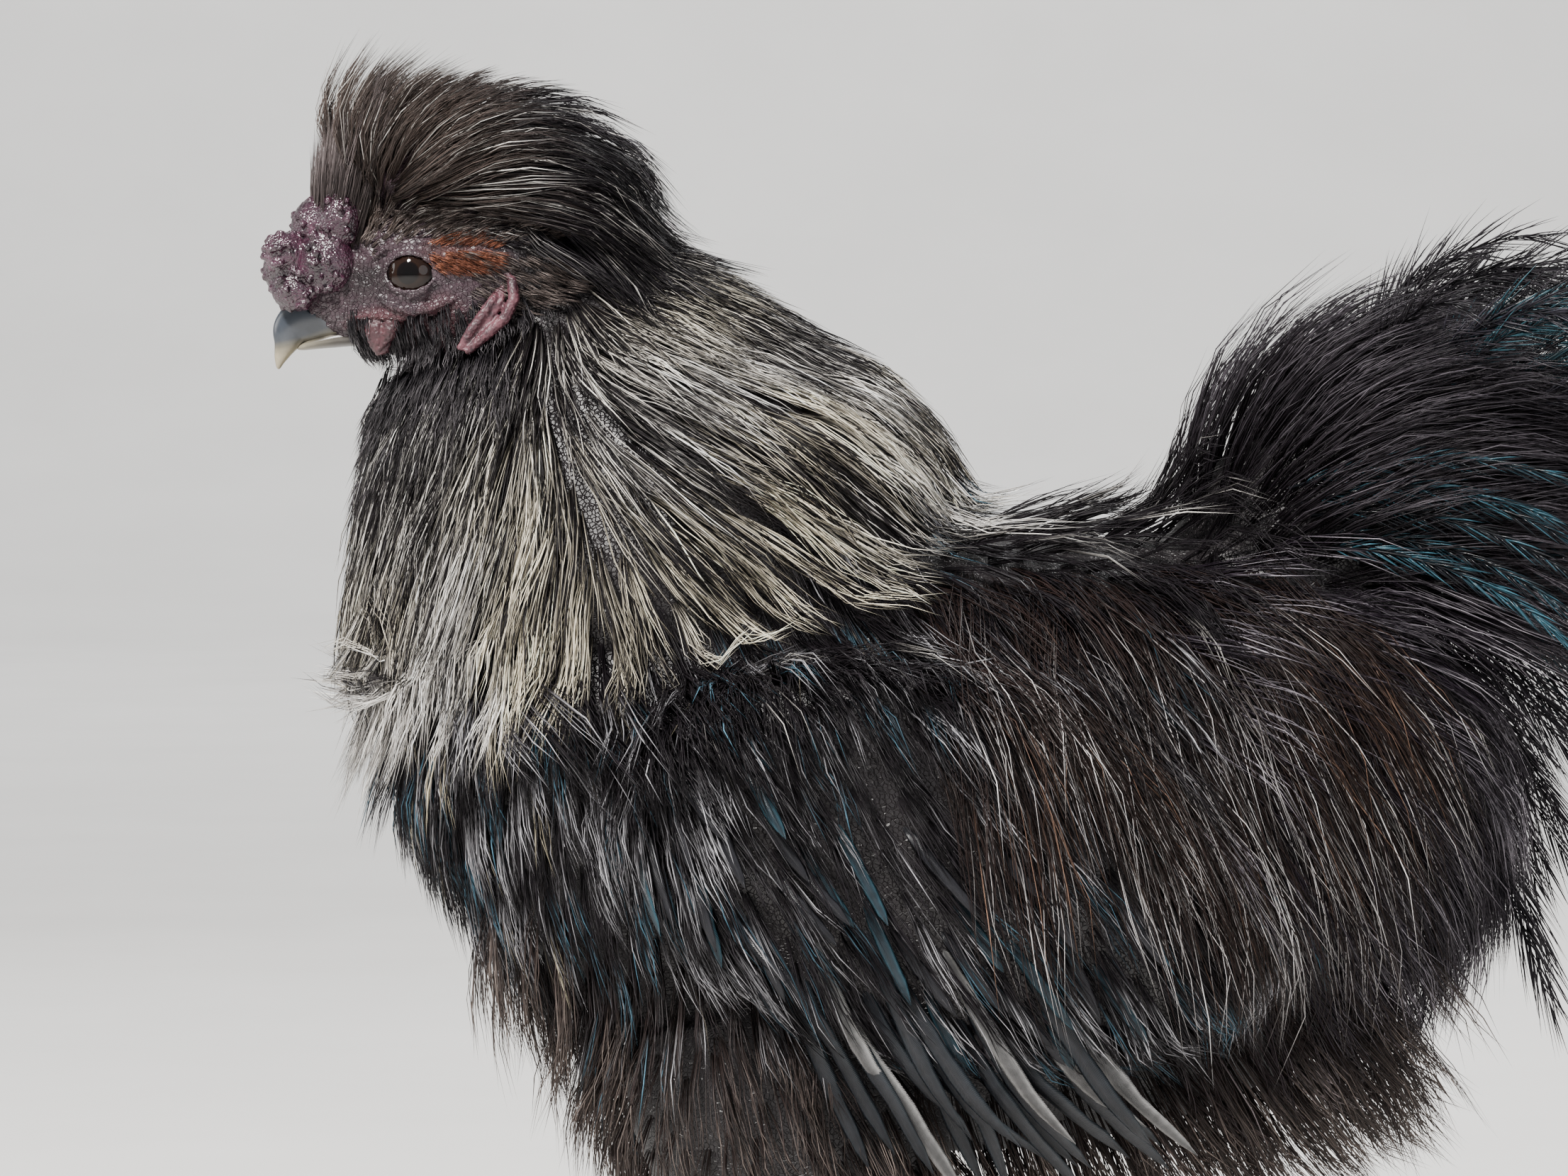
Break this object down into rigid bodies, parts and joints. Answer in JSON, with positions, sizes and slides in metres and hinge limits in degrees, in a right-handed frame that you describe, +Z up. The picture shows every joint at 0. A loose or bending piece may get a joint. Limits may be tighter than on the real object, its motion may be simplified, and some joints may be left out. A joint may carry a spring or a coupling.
{
  "type": "silkie chicken model",
  "caption": "Life-size still model of a standing silkie cock, black with silver neck hackles, a crest, a walnut comb and feathered shanks.",
  "frame": {"origin": "on the floor, under the middle of the bounding box", "axes": "-X is the way the bird faces, +Z is up, and the bird's left side is towards -Y"},
  "size_m": [0.4081, 0.2063, 0.3783],
  "materials": {
    "torso": "matt black downy feathers",
    "neck": "silky silver-grey hackle feathers",
    "head": "satin wrinkled mauve-grey skin",
    "crest": "matt brown-black feathers",
    "comb": "satin wrinkled mulberry skin",
    "beak_upper": "satin slate-blue horn",
    "beak_lower": "satin pale horn",
    "tail": "satin black feathers",
    "eye_left": "glossy dark",
    "eye_right": "glossy dark",
    "earlobe_left": "matt mulberry-pink skin",
    "earlobe_right": "matt mulberry-pink skin",
    "wattle_left": "matt dark red skin",
    "wattle_right": "matt dark red skin",
    "wing_left": "satin blue-black feathers",
    "wing_right": "satin blue-black feathers",
    "thigh_left": "matt brown-black fluff",
    "thigh_right": "matt brown-black fluff",
    "shank_left": "matt slate feathers and scales",
    "shank_right": "matt slate feathers and scales",
    "foot_left": "matt slate-blue scaled skin",
    "foot_right": "matt slate-blue scaled skin",
    "claw_left_1": "satin pale horn",
    "claw_left_2": "satin pale horn",
    "claw_left_3": "satin pale horn",
    "claw_left_4": "satin pale horn",
    "claw_left_5": "satin pale horn",
    "claw_right_1": "satin pale horn",
    "claw_right_2": "satin pale horn",
    "claw_right_3": "satin pale horn",
    "claw_right_4": "satin pale horn",
    "claw_right_5": "satin pale horn"
  },
  "bodies": {
    "root": {"torso": "torso", "neck": "neck", "head": "head", "crest": "crest", "comb": "comb", "beak_upper": "beak_upper", "beak_lower": "beak_lower", "tail": "tail", "eye_left": "eye_left", "eye_right": "eye_right", "earlobe_left": "earlobe_left", "earlobe_right": "earlobe_right", "wattle_left": "wattle_left", "wattle_right": "wattle_right", "wing_left": "wing_left", "wing_right": "wing_right", "thigh_left": "thigh_left", "thigh_right": "thigh_right", "shank_left": "shank_left", "shank_right": "shank_right", "foot_left": "foot_left", "foot_right": "foot_right", "claw_left_1": "claw_left_1", "claw_left_2": "claw_left_2", "claw_left_3": "claw_left_3", "claw_left_4": "claw_left_4", "claw_left_5": "claw_left_5", "claw_right_1": "claw_right_1", "claw_right_2": "claw_right_2", "claw_right_3": "claw_right_3", "claw_right_4": "claw_right_4", "claw_right_5": "claw_right_5"}
  },
  "joints": []
}
